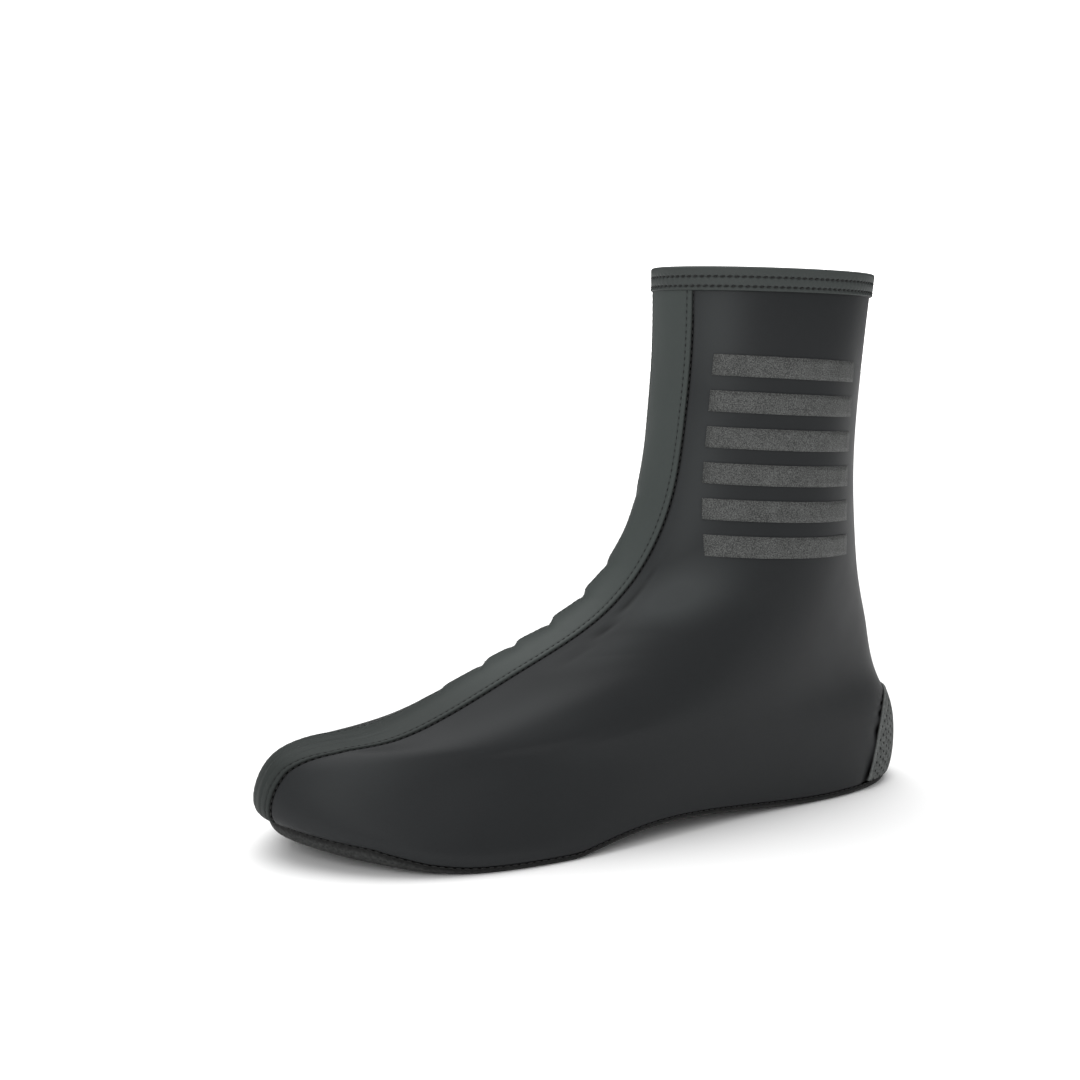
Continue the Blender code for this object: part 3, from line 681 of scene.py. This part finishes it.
def add_stitches(name, centres, ways, outs, length, width, height, material):
    """One mesh of small rounded dashes, each along its way and standing out by its height."""
    ways = ways / np.linalg.norm(ways, axis=1, keepdims=True)
    outs = outs - ways * (outs * ways).sum(axis=1, keepdims=True)
    outs /= np.linalg.norm(outs, axis=1, keepdims=True)
    sides = np.cross(ways, outs)
    along = (-1.0, -0.8, -0.3, 0.3, 0.8, 1.0)
    girth = (0.15, 0.7, 1.0, 1.0, 0.7, 0.15)
    turns = np.linspace(0, 2 * math.pi, 7)[:-1]
    template = [
        (a * length / 2, g * math.cos(t) * width / 2, g * math.sin(t) * height / 2)
        for a, g in zip(along, girth)
        for t in turns
    ]
    template = np.array(template)
    points = (
        centres[:, None]
        + template[None, :, :1] * ways[:, None]
        + template[None, :, 1:2] * sides[:, None]
        + template[None, :, 2:] * outs[:, None]
    )
    body = grid_faces(6, 6, True)[:, ::-1]
    faces = []
    for i in range(len(centres)):
        first = i * len(template)
        faces += (body + first).tolist()
        faces.append([first + j for j in range(6)])
        faces.append([first + 30 + j for j in range(5, -1, -1)])
    piece = add_mesh(name, points, faces, [material])
    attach(piece, "root")
    return piece


thread, shader, wire = start_material("Black_Thread")
place = wire.node("TexCoord", output=3)
ply = wire.node("TexNoise", {}, {"Vector": place, "Scale": 5000.0, "Detail": 2.0})
bump = wire.node("Bump", {}, {"Strength": 0.5, "Distance": 0.0001, "Height": ply})
plug(shader, Base_Color=ply.mix(grey(0.003), grey(0.016)), Roughness=0.6, Normal=bump)
plug(shader, Specular_IOR_Level=0.3)


def stitch_rows(name, rises, rings, lift, step, length, width, height, material, slot):
    """A row of stitches along places given by their rises and rings, lifted off the wall."""
    path = wall_point(rings, rises)
    at = spaced(path, step)
    numbers = np.arange(len(path))
    rise_at = np.interp(at, numbers, rises)
    ring_at = np.interp(at, numbers, rings)
    before = wall_point(np.interp(at - 0.5, numbers, rings), np.interp(at - 0.5, numbers, rises))
    after = wall_point(np.interp(at + 0.5, numbers, rings), np.interp(at + 0.5, numbers, rises))
    outs = wall_normal(ring_at, rise_at)
    lifts = lift(rise_at, ring_at) if callable(lift) else lift
    centres = wall_point(ring_at, rise_at) + outs * np.reshape(lifts, (-1, 1))
    piece = add_stitches(name, centres, after - before, outs, length, width, height, material)


def roll_lift(base, across_at):
    """Lift of a row of stitches that follows the rolls at a distance from the middle line."""

    def lift(rise_at, ring_at):
        up_at = np.interp(rise_at, RISE_TABLE, FRONT_LENGTHS)
        return base + rolls(up_at, across_at(rise_at))

    return lift


for side, word in ((1, "Outer"), (-1, "Inner")):
    for inset, row_name, lift, size in (
        (-0.0002, "Seam", -0.0001, (0.0018, 0.00055, 0.0006)),
        (PANEL_STITCH_IN, "Edge", 0.0006, (0.0013, 0.00040, 0.00036)),
    ):
        def across_at(rise_at, side=side, inset=inset):
            return side * (panel_half(rise_at) - inset)

        rings = np.array([float(ring_at_distance(r, across_at(r), 0.0)) for r in panel_rises])
        stitch_rows(
            f"Panel_{row_name}_Thread_{word}", panel_rises, rings, roll_lift(lift, across_at),
            PANEL_STITCH, *size, thread, "front_panel_fabric",
        )
around = np.linspace(0.0, 2.0, 721)
stitch_rows(
    "Sole_Seam_Thread", np.full(around.shape, SOLE_STITCH_RISE), around, 0.0,
    SOLE_STITCH, 0.0021, 0.0006, 0.0006, thread, "sole_fabric",
)

# Sole
# A tougher woven fabric, 2 mm thick with a pebbled rubbery print. It wraps up round the toe and
# heel and is sewn to the upper. The openings for cleat and heel pad are cut after moulding.
SOLE_THICKNESS = 0.002
SIDE_ROUNDING = 0.9
# Each opening's place along the foot as a share of its length, then its length and width
OPENINGS = ((0.335, 0.062, 0.046), (0.875, 0.032, 0.030))
OPENING_CORNER = 0.010
OPENING_CUT = 0.016
SEAM_DROP = 0.0001
# The middle line to which the sole's rows close in, as shares of the foot's length
SPINE_START = 0.13
SPINE_SHORTER = 0.22
SOLE_RINGS = 288

sole_fabric, shader, wire = start_material("Pebbled_Sole_Fabric")
place = wire.node("TexCoord", output=3)
pebble = wire.node("TexVoronoi", {}, {"Vector": place, "Scale": 900.0})
grain = wire.node("TexNoise", {}, {"Vector": place, "Scale": 1800.0, "Detail": 4.0})
wear = wire.node("TexNoise", {}, {"Vector": place, "Scale": 45.0, "Detail": 4.0})
tone = pebble * 0.5 + grain * 0.3 + wear * 0.4
painted_shade = wire.node("Attribute", {"attribute_name": "painted_shade"}, output=2)
colour = tone.step(0.2, 1.0).mix(grey(0.010, 0.95, 1.0), grey(0.046, 0.98, 0.98))
# Painted shade, near black, on the sole's side close under the upper's edge
colour = (painted_shade * 0.9).mix(colour, grey(0.003))
bump = wire.node("Bump", {}, {"Strength": 0.7, "Distance": 0.0003, "Height": grain - pebble})
plug(shader, Base_Color=colour, Roughness=wear * 0.1 + 0.72, Normal=bump)
plug(shader, Specular_IOR_Level=0.25)


def sole_rows(rim, lift):
    """Rows of the sole's surface from its rim to its middle line, lift above the underside."""
    share = (1 - np.cos(math.pi * sole_ring)) / 2
    spine_x = TOE_TIP + SPINE_START * LENGTH + (LENGTH - SPINE_SHORTER * LENGTH) * share
    spine = np.stack([spine_x, swing(spine_x)], axis=-1)
    reach = rim[:, :2] - spine
    height = rim[:, 2] - underside(rim[:, 0]) - lift
    rounding = (SIDE_ROUNDING * height)[:, None] / np.linalg.norm(reach, axis=1, keepdims=True)
    rows = []
    for turn in np.linspace(0, math.pi / 2, 9):
        flat = spine + reach * (1 - rounding * (1 - math.cos(turn)))
        above = lift + height * (1 - math.sin(turn))
        rows.append(np.column_stack([flat, underside(flat[:, 0]) + above]))
    for left in (0.9, 0.75, 0.6, 0.45, 0.3, 0.15, 0.0):
        flat = spine + reach * (1 - rounding) * left
        rows.append(np.column_stack([flat, underside(flat[:, 0]) + lift]))
    return rows


sole_ring = np.arange(SOLE_RINGS) * 2 / SOLE_RINGS
rim = wall_point(sole_ring, 0.0) - (0, 0, SEAM_DROP)
inward = -wall_normal(sole_ring, 0.0)
inward[:, 2] = 0
inward /= np.linalg.norm(inward, axis=1, keepdims=True)
under_rows = sole_rows(rim, 0.0)[::-1]
inside_rows = sole_rows(rim + inward * SOLE_THICKNESS, SOLE_THICKNESS)
sole_points = np.array(under_rows + inside_rows)
# Painted shade on the sole, strongest just below the upper's edge and gone 2.2 mm below it
below_rim = rim[:, 2] - sole_points[..., 2]
sole_painted_shade = 1 - smooth(0.0005, 0.0022, below_rim)
sole = add_mesh(
    "Sole", sole_points, grid_faces(len(sole_points), SOLE_RINGS, True).tolist(), [sole_fabric],
    painted_shade=sole_painted_shade,
)
form = bmesh.new()
form.from_mesh(sole.data)
bmesh.ops.remove_doubles(form, verts=form.verts, dist=2e-6)
bmesh.ops.recalc_face_normals(form, faces=form.faces)
form.to_mesh(sole.data)
form.free()
cutters = []
for at, length, width in OPENINGS:
    form = bmesh.new()
    bmesh.ops.create_cube(form, size=1)
    bmesh.ops.scale(form, verts=form.verts, vec=(length, width, OPENING_CUT))
    upright = [e for e in form.edges if abs(e.verts[0].co.z - e.verts[1].co.z) > OPENING_CUT / 2]
    bmesh.ops.bevel(form, geom=upright, offset=OPENING_CORNER, segments=10, profile=0.5, affect="EDGES")
    mesh = bpy.data.meshes.new("Opening")
    form.to_mesh(mesh)
    form.free()
    cutter = bpy.data.objects.new("Opening", mesh)
    x = TOE_TIP + at * LENGTH
    slope = (swing(x + length / 2) - swing(x - length / 2)) / length
    cutter.location = np.array((x, swing(x), 0)) + TO_FRAME
    cutter.rotation_euler = (0, 0, math.atan(slope))
    bpy.context.scene.collection.objects.link(cutter)
    cutters.append(cutter)
    cut = sole.modifiers.new("Opening", "BOOLEAN")
    cut.operation = "DIFFERENCE"
    cut.object = cutter
bpy.context.view_layer.update()
graph = bpy.context.evaluated_depsgraph_get()
cut_mesh = bpy.data.meshes.new_from_object(sole.evaluated_get(graph))
sole.modifiers.clear()
sole.data = cut_mesh
sole.data.set_sharp_from_angle(angle=math.radians(50))
for cutter in cutters:
    bpy.data.objects.remove(cutter)
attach(sole, "root")
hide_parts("sole")

# Collar hem
# A band of the coated fabric folded over the collar's edge and held by two rows of lockstitch,
# 4 mm and 7.7 mm below the fold, that pull it in a little at each stitch.
HEM_LOW = HEM_FOLD - HEM_HEIGHT
HEM_OUT = 0.0011
# Heights of the two stitch rows from the wall's edge
HEM_ROWS = (-0.0029, -0.0066)
HEM_STITCH = 0.0027
HEM_COLUMNS = 540
HEM_FACE_ROWS = 44

hem_fabric = coated_fabric("Hem_Fabric", 0.052, 0.45, 0.90, 0.97)
hem_ring = np.arange(HEM_COLUMNS) * 2 / HEM_COLUMNS
collar_run = lengths_of(wall_point(np.append(hem_ring, 2.0), 1.0))
stitch_count = int(collar_run[-1] / HEM_STITCH)
beat = collar_run[:-1] / collar_run[-1] * stitch_count * 2 * math.pi


def hem_out(height):
    """How far the hem's outer face stands off the wall, all round, at a height from the edge."""
    face = np.full(HEM_COLUMNS, HEM_OUT)
    for row in HEM_ROWS:
        phase = math.pi * (row == HEM_ROWS[1])
        pull = 0.00012 + 0.00016 * np.cos(beat + phase)
        face = face - 0.00022 * hump(height - row, 0.00042) - pull * hump(height - row, 0.0011)
    lip = 0.00016 * hump(height - HEM_LOW - 0.0005, 0.0005)
    return face + lip - 0.0006 * hump(height - HEM_LOW, 0.00016)


hem_profile = [(hem_out(h), h) for h in np.linspace(HEM_LOW, 0, HEM_FACE_ROWS)]
half_thick = (2 * HEM_OUT + WALL) / 2
for turn in np.linspace(0, math.pi, 15)[1:-1]:
    bulge = half_thick * abs(math.cos(turn)) ** 0.8 * (1 if turn < math.pi / 2 else -1)
    rest = hem_out(0.0) - HEM_OUT
    hem_profile.append((bulge - WALL / 2 + rest * (turn < 1.5), HEM_FOLD * math.sin(turn) ** 0.8))
for h in np.linspace(0, HEM_LOW, 12):
    hem_profile.append((np.full(HEM_COLUMNS, -WALL - HEM_OUT), h))
hem_profile.append((np.full(HEM_COLUMNS, -WALL), HEM_LOW + 0.0002))
hem_profile.append((np.full(HEM_COLUMNS, 0.0002), HEM_LOW + 0.0002))
edge_points = wall_point(hem_ring, 1.0)
inward = -wall_normal(hem_ring, 1.0)
inward[:, 2] = 0
inward /= np.linalg.norm(inward, axis=1, keepdims=True)
hem_rises = np.linspace(0.9, 1, 81)
hem_heights = wall_point(hem_ring[:, None], hem_rises)[..., 2]


def rise_below_edge(drop):
    """Rise of the wall all round at a height from its edge, which is 0 or less."""
    edges = edge_points[:, 2]
    return np.array([np.interp(z + drop, row, hem_rises) for z, row in zip(edges, hem_heights)])


hem_points = []
for out, height in hem_profile:
    row = wall_point(hem_ring, rise_below_edge(min(height, 0.0))) - inward * np.reshape(out, (-1, 1))
    row[:, 2] += max(height, 0.0)
    hem_points.append(row)
hem_points = np.array(hem_points)
faces = np.concatenate((
    grid_faces(len(hem_points), HEM_COLUMNS, True), closing_faces(len(hem_points), HEM_COLUMNS)
))
# Painted shade in the grooves of both stitch rows and along the hem's lower edge
hem_painted_shade = np.zeros(hem_points.shape[:2])
for row_number, (out, height) in enumerate(hem_profile[:HEM_FACE_ROWS]):
    for row in HEM_ROWS:
        hem_painted_shade[row_number] += 0.3 * hump(height - row, 0.00035)
    hem_painted_shade[row_number] += 0.8 * hump(height - HEM_LOW, 0.0002)
hem = add_mesh(
    "Collar_Hem", hem_points, faces.tolist(), [hem_fabric], painted_shade=np.clip(hem_painted_shade, 0, 1)
)
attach(hem, "root")
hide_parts("collar_hem")
# The stitches sit in the hem's face and slant a little across their row
STITCH_SUNK = 0.0002
STITCH_SLANT = 0.2


def along_line(line, where):
    """Points of a line at running row numbers."""
    numbers = np.arange(len(line))
    return np.stack([np.interp(where, numbers, line[:, k]) for k in range(3)], -1)


for number, row in enumerate(HEM_ROWS):
    line = wall_point(hem_ring, rise_below_edge(row)) - inward * (HEM_OUT - STITCH_SUNK)
    line = np.concatenate((line, line[:1]))
    share = (np.arange(stitch_count) + 0.5 * number) / stitch_count * collar_run[-1]
    at = np.interp(share % collar_run[-1], collar_run, np.arange(HEM_COLUMNS + 1))
    before = along_line(line, np.maximum(at - 1, 0))
    way = along_line(line, np.minimum(at + 1, HEM_COLUMNS)) - before
    way /= np.linalg.norm(way, axis=1, keepdims=True)
    outs = wall_normal(np.interp(at, np.arange(len(line)), np.append(hem_ring, 2.0)), 0.98)
    way += STITCH_SLANT * np.cross(outs, way)
    piece = add_stitches(
        f"Hem_Thread_{number + 1}", along_line(line, at), way, outs, 0.0019, 0.00062, 0.0007, thread
    )

# Heel patch
# A patch of perforated heather fabric laid over the back of the heel, its edge bound and sewn
# down into a deep seam.
HOLE_PITCH = 0.0034
HOLE_RADIUS = 0.00056
HOLE_ROWS_APART = math.sqrt(3)
PATCH_START = 0.0012
PATCH_STANDS = 0.0006
PATCH_THICKNESS = 0.0005

patch_fabric, shader, wire = start_material("Perforated_Heather")
place = wire.node("TexCoord", output=3)
lengths = wire.node("UVMap", {"uv_map": "Lengths"})
u = wire.node("SeparateXYZ", {}, {0: lengths}, 0)
v = wire.node("SeparateXYZ", {}, {0: lengths}, 1)
nearest = []
for shift in (0.0, 0.5):
    one_way = wire.maths("FRACT", u / (HOLE_PITCH * HOLE_ROWS_APART) + 100.0 + shift) - 0.5
    one_way = one_way * HOLE_ROWS_APART
    other_way = wire.maths("FRACT", v / HOLE_PITCH + 100.0 + shift) - 0.5
    nearest.append(wire.maths("SQRT", one_way * one_way + other_way * other_way) * HOLE_PITCH)
away = wire.maths("MINIMUM", nearest[0], nearest[1])
hole = 1.0 - away.step(HOLE_RADIUS * 0.85, HOLE_RADIUS * 1.1)
fibre = wire.node("TexNoise", {}, {"Vector": place, "Scale": 1400.0, "Detail": 5.0})
fleck = wire.node("TexNoise", {}, {"Vector": place, "Scale": 420.0, "Detail": 3.0})
painted_shade = wire.node("Attribute", {"attribute_name": "painted_shade"}, output=2)
painted_rim_highlight = wire.node("Attribute", {"attribute_name": "rim"}, output=2)
tone = (fibre * 0.6 + fleck * 0.5).step(0.35, 0.75)
colour = tone.mix(grey(0.044, 0.94, 0.98), grey(0.125, 0.95, 0.97))
# Painted highlight along the raised bound edge; the holes stop short of it
colour = (painted_rim_highlight * 0.35).mix(colour, grey(0.20, 0.96, 0.99))
colour = (hole * (1.0 - painted_rim_highlight.step(0.0, 0.2))).mix(colour, grey(0.002))
# Painted shade, near black, where the patch's edge sinks into its seam
colour = painted_shade.mix(colour, grey(0.004))
height = fibre * 0.5 - hole * 2.0
bump = wire.node("Bump", {}, {"Strength": 0.7, "Distance": 0.0003, "Height": height})
plug(shader, Base_Color=colour, Roughness=0.85, Normal=bump, Specular_IOR_Level=0.2)

# Rows and columns lie closer together towards the patch's bound edge
closer_up = 1 - (1 - np.linspace(0, 0.985, 90)) ** 1.8
patch_ups = PATCH_START + (PATCH_HEIGHT - PATCH_START) * closer_up
patch_rises = np.interp(patch_ups, BACK_LENGTHS, RISE_TABLE)
last_turn = math.pi / 2 * 0.97
spots = np.sin(np.linspace(-1, 1, 161) * last_turn) / math.sin(last_turn)
patch_across = patch_half(patch_ups)[:, None] * spots
patch_rings = np.array([ring_at_distance(r, a, 1.0) for r, a in zip(patch_rises, patch_across)])
patch_rise = np.broadcast_to(patch_rises[:, None], patch_rings.shape)
from_edge = np.minimum(
    (patch_half(patch_ups)[:, None] - np.abs(patch_across)) * 0.9, (PATCH_HEIGHT - patch_ups)[:, None]
)
stands = PATCH_STANDS * smooth(-0.0002, 0.0003, from_edge) + 0.0001 * hump(from_edge - 0.0004, 0.0002)
stands = stands - 0.0005 * hump(from_edge, 0.0003)
patch_outs = wall_normal(patch_rings, patch_rise)
patch_points = wall_point(patch_rings, patch_rise) + patch_outs * stands[..., None]
# The patch's painted shade lies at its very edge
patch = add_mesh(
    "Heel_Patch", patch_points, grid_faces(*patch_rise.shape, False)[:, ::-1].tolist(), [patch_fabric],
    np.stack([patch_across, np.broadcast_to(patch_ups[:, None], patch_across.shape)], -1),
    1 - smooth(0.0, 0.0003, from_edge),
)
# Where the painted highlight lies, along the raised bound edge
add_values(patch, "rim", hump(from_edge - 0.0003, 0.00014))
thicken(patch, PATCH_THICKNESS)
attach(patch, "root")
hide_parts("heel_patch")

# Reflective bars
# Six equal bars of heat-pressed reflective film across the outer side of the shaft, a grey skin
# of fine glass beads with a slightly uneven, sparkling grain.
BAR_COUNT = 6
BAR_HEIGHT = 0.0083
BAR_PITCH = 0.0141
BAR_TOP_BELOW_COLLAR = 0.0330
BAR_DROP = 0.0036
BAR_FRONT_INSET = 0.0084
BAR_BACK_INSET = 0.0250
BAR_STAGGER = 0.0012
BAR_STANDS = 0.00045
BAR_THICKNESS = 0.0003
BAR_ROWS = 5
BAR_COLUMNS = 25
BAR_TRIES = 8

film, shader, wire = start_material("Reflective_Film")
place = wire.node("TexCoord", output=3)
beads = wire.node("TexNoise", {}, {"Vector": place, "Scale": 2400.0, "Detail": 1.0})
patchy = wire.node("TexNoise", {}, {"Vector": place, "Scale": 160.0, "Detail": 2.0})
tone = (beads * 0.85 + patchy * 0.15).step(0.32, 0.72)
bump = wire.node("Bump", {}, {"Strength": 0.6, "Distance": 0.00015, "Height": beads})
plug(shader, Base_Color=tone.mix(grey(0.026, 0.96, 0.98), grey(0.105, 0.97, 0.97)), Roughness=0.62)
plug(shader, Normal=bump, Metallic=0.0, Specular_IOR_Level=0.3)

bar_rings = np.linspace(0.05, 0.95, 361)
for index in range(BAR_COUNT):
    top = COLLAR_TOP - BAR_TOP_BELOW_COLLAR - index * BAR_PITCH
    back_x = COLLAR_BACK - BAR_BACK_INSET
    rows = []
    for low in np.linspace(0, 1, BAR_ROWS):
        down = index + (1 - low) * BAR_HEIGHT / BAR_PITCH
        front_x = COLLAR_FRONT + BAR_FRONT_INSET - BAR_STAGGER * down
        row = []
        for share in np.linspace(0, 1, BAR_COLUMNS):
            height = top - BAR_HEIGHT * (1 - low) - BAR_DROP * share
            # Ring place and rise depend on each other, so they are found by turns
            ring_here = 0.45
            for _ in range(BAR_TRIES):
                rise_here = np.interp(height, wall_point(ring_here, RISE_TABLE)[:, 2], RISE_TABLE)
                xs = wall_point(bar_rings, rise_here)[:, 0]
                ring_here = np.interp(front_x + (back_x - front_x) * share, xs, bar_rings)
            row.append((ring_here, rise_here))
        rows.append(row)
    rows = np.array(rows)
    skin = wall_point(rows[..., 0], rows[..., 1])
    skin = skin + wall_normal(rows[..., 0], rows[..., 1]) * BAR_STANDS
    faces = grid_faces(BAR_ROWS, BAR_COLUMNS, False).tolist()
    bar = add_mesh(f"Reflective_Bar_{index + 1}", skin, faces, [film])
    thicken(bar, BAR_THICKNESS)
    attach(bar, "root")
    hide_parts(f"reflective_bar_{index + 1}")

# Floor, backdrop and lights
# A white table with a lit white backdrop behind it, under one wide soft key from above and behind
# and a weak soft box at the outer side, ahead of the toe.
bpy.context.scene.view_settings.view_transform = "Standard"
forward = np.array((math.sin(YAW), math.cos(YAW)))
sideways = np.array((math.cos(YAW), -math.sin(YAW)))


def add_sheet(name, corners, glow, paleness):
    """A flat stage sheet of pale paper, lit a little from within."""
    mesh = bpy.data.meshes.new(name)
    mesh.from_pydata([(*(forward * a + sideways * b), z) for a, b, z in corners], [], [(0, 1, 2, 3)])
    paper, shader, _ = start_material(name + "_Paper")
    plug(shader, Base_Color=grey(paleness), Roughness=0.9, Specular_IOR_Level=0.0)
    plug(shader, Emission_Color=grey(1.0), Emission_Strength=glow)
    mesh.materials.append(paper)
    sheet = bpy.data.objects.new(name, mesh)
    bpy.context.scene.collection.objects.link(sheet)
    return sheet


add_sheet("Floor", ((-5, -8, 0), (-5, 8, 0), (6, 8, 0), (6, -8, 0)), 0.0, 0.85)
backdrop = add_sheet("Backdrop", ((6, -8, 0), (6, 8, 0), (6, 8, 2), (6, -8, 2)), 1.1, 0.8)
backdrop.visible_glossy = False

world = bpy.data.worlds.new("Studio")
world.use_nodes = True
world.node_tree.nodes["Background"].inputs["Color"].default_value = (1.0, 1.0, 1.0, 1.0)
world.node_tree.nodes["Background"].inputs["Strength"].default_value = 0.75
world.cycles_visibility.glossy = False
bpy.context.scene.world = world


def aim(light, at, towards):
    """Puts a light in the scene, facing a point."""
    holder = bpy.data.objects.new(light.name, light)
    holder.location = at
    facing = np.asarray(towards, float) - np.asarray(at, float)
    flat = math.hypot(facing[0], facing[1])
    holder.rotation_euler = (math.atan2(flat, -facing[2]), 0, math.atan2(-facing[0], facing[1]))
    bpy.context.scene.collection.objects.link(holder)


key = bpy.data.lights.new("Wide_Key", "SUN")
key.angle = math.radians(70)
key.energy = 2.5
aim(key, (0.05, 0.40, 1.2), (0.0, 0.0, 0.0))
fill = bpy.data.lights.new("Soft_Box_Side", "AREA")
fill.size = 1.2
fill.energy = 9.0
aim(fill, (-1.2, -1.2, 0.9), (0.0, 0.0, 0.1))
